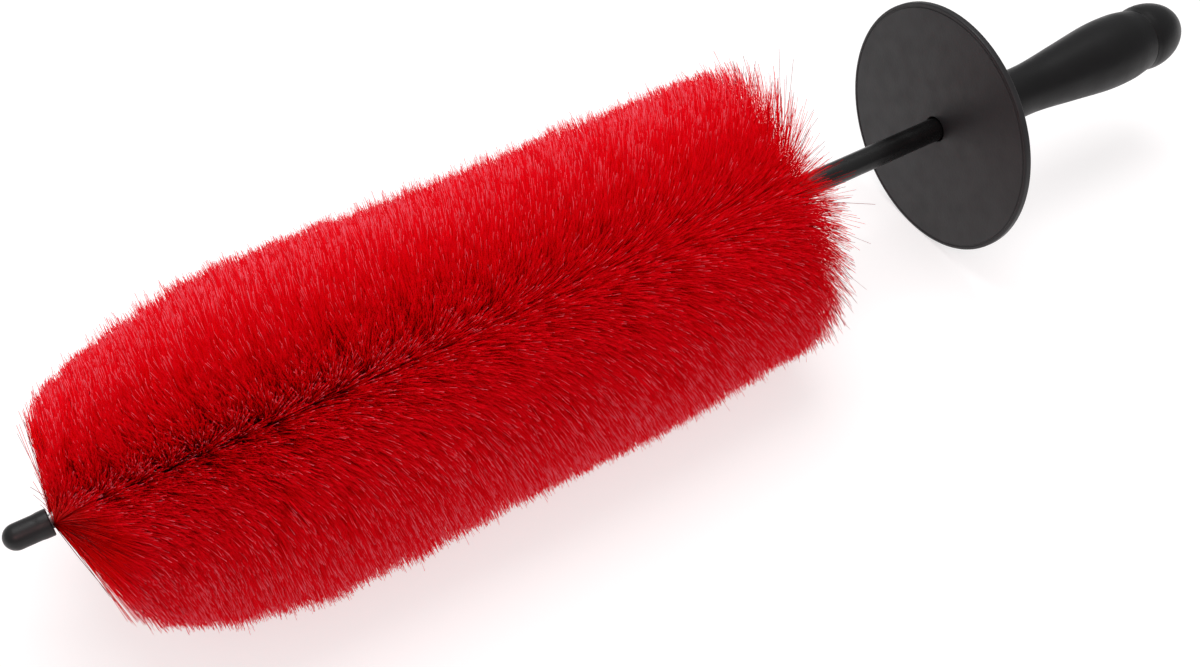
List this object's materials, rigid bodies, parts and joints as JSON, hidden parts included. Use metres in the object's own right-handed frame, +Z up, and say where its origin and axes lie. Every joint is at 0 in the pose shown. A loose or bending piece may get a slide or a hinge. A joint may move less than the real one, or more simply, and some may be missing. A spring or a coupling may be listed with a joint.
{
  "type": "wheel brush",
  "caption": "Long-reach wheel brush: a soft twisted-in-wire head on a sleeved stem, with a rubber tip, a round splash guard and a moulded handle.",
  "frame": {"origin": "on the floor plane, under the middle of the overall length, with the brush lying on its side", "axes": "+X along the brush from the rubber tip to the handle's end, +Z up from the floor, +Y across"},
  "size_m": [0.4426, 0.101, 0.0925],
  "materials": {
    "filaments": "satin",
    "twisted_wire": "satin",
    "tip_rubber": "satin",
    "stem_plastic": "gloss",
    "guard_plastic": "satin",
    "handle_plastic": "satin",
    "grip_rubber": "satin"
  },
  "bodies": {
    "root": {"tip_cap": "tip_rubber", "core_wire_1": "twisted_wire", "core_wire_2": "twisted_wire", "bristle_row_01": "filaments", "bristle_row_02": "filaments", "bristle_row_03": "filaments", "bristle_row_04": "filaments", "bristle_row_05": "filaments", "bristle_row_06": "filaments", "bristle_row_07": "filaments", "bristle_row_08": "filaments", "bristle_row_09": "filaments", "bristle_row_10": "filaments", "bristle_row_11": "filaments", "bristle_row_12": "filaments", "bristle_row_13": "filaments", "bristle_row_14": "filaments", "bristle_row_15": "filaments", "bristle_row_16": "filaments", "bristle_row_17": "filaments", "bristle_row_18": "filaments", "bristle_row_19": "filaments", "bristle_row_20": "filaments", "bristle_row_21": "filaments", "bristle_row_22": "filaments", "bristle_row_23": "filaments", "bristle_row_24": "filaments", "bristle_row_25": "filaments", "stem_sleeve": "stem_plastic", "splash_guard": "guard_plastic", "wire_ferrule": "twisted_wire", "handle_core": "handle_plastic", "grip_sleeve": "grip_rubber", "handle_end_cap": "handle_plastic"}
  },
  "joints": []
}
